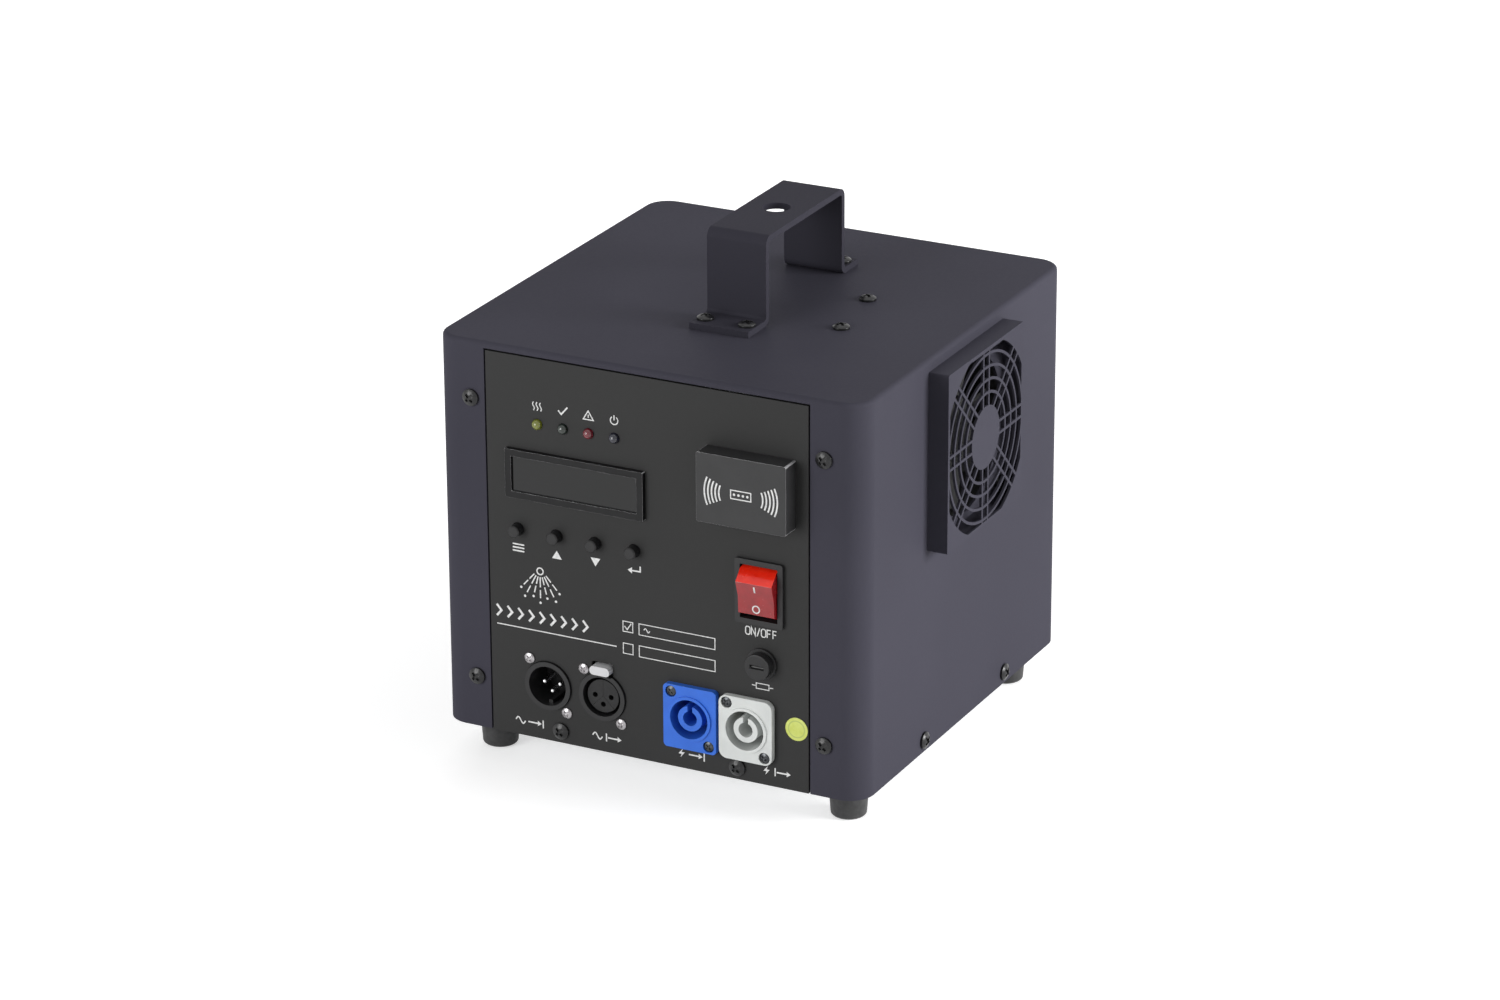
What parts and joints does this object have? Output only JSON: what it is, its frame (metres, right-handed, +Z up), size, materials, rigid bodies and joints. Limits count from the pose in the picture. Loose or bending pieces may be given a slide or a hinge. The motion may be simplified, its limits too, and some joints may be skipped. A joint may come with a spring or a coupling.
{
  "type": "cold spark machine",
  "caption": "Hanging cold spark machine: sheet steel casing, top clamp bracket, control panel, side fan, granule feed, heater and downward outlet.",
  "frame": {"origin": "on the floor, under the middle of the whole machine's outline, feet and protrusions included", "axes": "+X to the machine's right as seen from its control panel, +Y from the control panel to the rear, +Z up"},
  "size_m": [0.2283, 0.2334, 0.2495],
  "materials": {
    "casing_paint": "satin powder coat, fine texture",
    "panel_paint": "satin powder coat, fine texture",
    "bracket_paint": "satin powder coat",
    "zinc_steel": "zinc plated, dull",
    "bare_steel": "drawn, dull",
    "heated_steel": "heat tinted",
    "motor_steel": "plated",
    "cast_aluminium": "cast, bead blasted",
    "bare_aluminium": "brushed",
    "black_screw": "black zinc, satin",
    "bright_screw": "nickel, bright on the left sockets, dark on the right",
    "foot_rubber": "moulded, matte",
    "display_frame": "black, satin with bright edges",
    "display_window": "smoked, glossy",
    "circuit_board": "green solder mask",
    "black_plastic": "moulded, fine grain",
    "button_plastic": "moulded, satin",
    "receiver_plastic": "moulded, satin",
    "lamp_yellow": "tinted lens",
    "lamp_red": "tinted lens",
    "lamp_clear": "clear lens",
    "rocker_red": "translucent red",
    "fuse_glass": "clear glass tube",
    "socket_black": "moulded, satin",
    "socket_insert": "moulded, matte",
    "socket_blue": "moulded, satin",
    "socket_grey": "moulded, satin",
    "contact_silver": "silver plated",
    "contact_brass": "plated",
    "latch_silver": "silver grey, glossy",
    "sticker_yellow": "printed film",
    "heater_ceramic": "fired ceramic, unglazed"
  },
  "bodies": {
    "machine": {"cover_shell": "casing_paint", "front_panel": "panel_paint", "rear_panel": "panel_paint", "base_tray": "zinc_steel", "fan_shroud": "casing_paint", "hanging_bracket": "bracket_paint", "bracket_backing": "zinc_steel", "top_screws": "black_screw", "case_screws": "black_screw", "rubber_feet": "foot_rubber", "base_screws": "black_screw", "display_bezel": "display_frame", "display_glass": "display_window", "display_board": "circuit_board", "panel_board": "circuit_board", "tact_switches": "black_plastic", "led_yellow": "lamp_yellow", "led_red": "lamp_red", "leds_clear": "lamp_clear", "receiver_cover": "receiver_plastic", "receiver_board": "circuit_board", "switch_housing": "black_plastic", "fuse_holder": "black_plastic", "signal_in_socket": "socket_black", "signal_in_pins": "contact_silver", "signal_out_socket": "socket_black", "signal_out_insert": "socket_insert", "power_in_socket": "socket_blue", "power_out_socket": "socket_grey", "power_contacts": "contact_brass", "socket_screws": "bright_screw", "inspection_sticker": "sticker_yellow", "hopper": "bare_steel", "door_hinge": "zinc_steel", "feed_tube": "bare_steel", "feed_motor": "motor_steel", "motor_bracket": "zinc_steel", "mixing_head": "cast_aluminium", "heater_tube": "heated_steel", "heater_core": "heater_ceramic", "heat_shield": "bare_steel", "outlet_flange": "heated_steel", "blower_housing": "black_plastic", "fan_frame": "black_plastic", "power_supply": "bare_aluminium", "control_board": "circuit_board", "board_bracket": "zinc_steel"},
    "rocker": {"switch_rocker": "rocker_red"},
    "menu_button": {"button_menu": "button_plastic"},
    "up_button": {"button_up": "button_plastic"},
    "down_button": {"button_down": "button_plastic"},
    "enter_button": {"button_enter": "button_plastic"},
    "fuse_carrier": {"fuse_cap": "button_plastic", "fuse_tube": "fuse_glass"},
    "latch": {"signal_out_latch": "latch_silver"},
    "fan_wheel": {"fan_rotor": "black_plastic"},
    "blower_wheel": {"blower_impeller": "black_plastic"},
    "auger": {"feed_screw": "bare_steel", "feed_shaft": "bare_steel"},
    "door": {"filler_door": "panel_paint"}
  },
  "joints": [
    {"name": "power_rocker", "type": "hinge", "parent": "machine", "child": "rocker", "pos_m": [0.0534, -0.1027, 0.1106], "axis": [-1, 0, 0], "range_deg": [0, 20]},
    {"name": "press_menu", "type": "slide", "parent": "machine", "child": "menu_button", "axis": [0, 1, 0], "range_m": [0, 0.0005], "stiffness_N_per_m": 300, "springref_m": -0.001},
    {"name": "press_up", "type": "slide", "parent": "machine", "child": "up_button", "axis": [0, 1, 0], "range_m": [0, 0.0005], "stiffness_N_per_m": 300, "springref_m": -0.001},
    {"name": "press_down", "type": "slide", "parent": "machine", "child": "down_button", "axis": [0, 1, 0], "range_m": [0, 0.0005], "stiffness_N_per_m": 300, "springref_m": -0.001},
    {"name": "press_enter", "type": "slide", "parent": "machine", "child": "enter_button", "axis": [0, 1, 0], "range_m": [0, 0.0005], "stiffness_N_per_m": 300, "springref_m": -0.001},
    {"name": "fuse_cap_turn", "type": "hinge", "parent": "machine", "child": "fuse_carrier", "pos_m": [0.0544, -0.1067, 0.0765], "axis": [0, -1, 0], "range_deg": [0, 60]},
    {"name": "latch_press", "type": "slide", "parent": "machine", "child": "latch", "axis": [0, 0, -1], "range_m": [0, 0.0008], "stiffness_N_per_m": 300, "springref_m": -0.001},
    {"name": "fan_spin", "type": "hinge", "parent": "machine", "child": "fan_wheel", "pos_m": [0.0907, 0.0003, 0.1582], "axis": [1, 0, 0], "continuous": true},
    {"name": "blower_spin", "type": "hinge", "parent": "machine", "child": "blower_wheel", "pos_m": [0.0042, 0.0718, 0.064], "axis": [1, 0, 0], "continuous": true},
    {"name": "feed_spin", "type": "hinge", "parent": "machine", "child": "auger", "pos_m": [0.0042, 0.0083, 0.123], "axis": [1, 0, 0], "continuous": true},
    {"name": "filler_door_hinge", "type": "hinge", "parent": "machine", "child": "door", "pos_m": [-0.0398, 0.1137, 0.1712], "axis": [-1, 0, 0], "range_deg": [0, 120]}
  ]
}
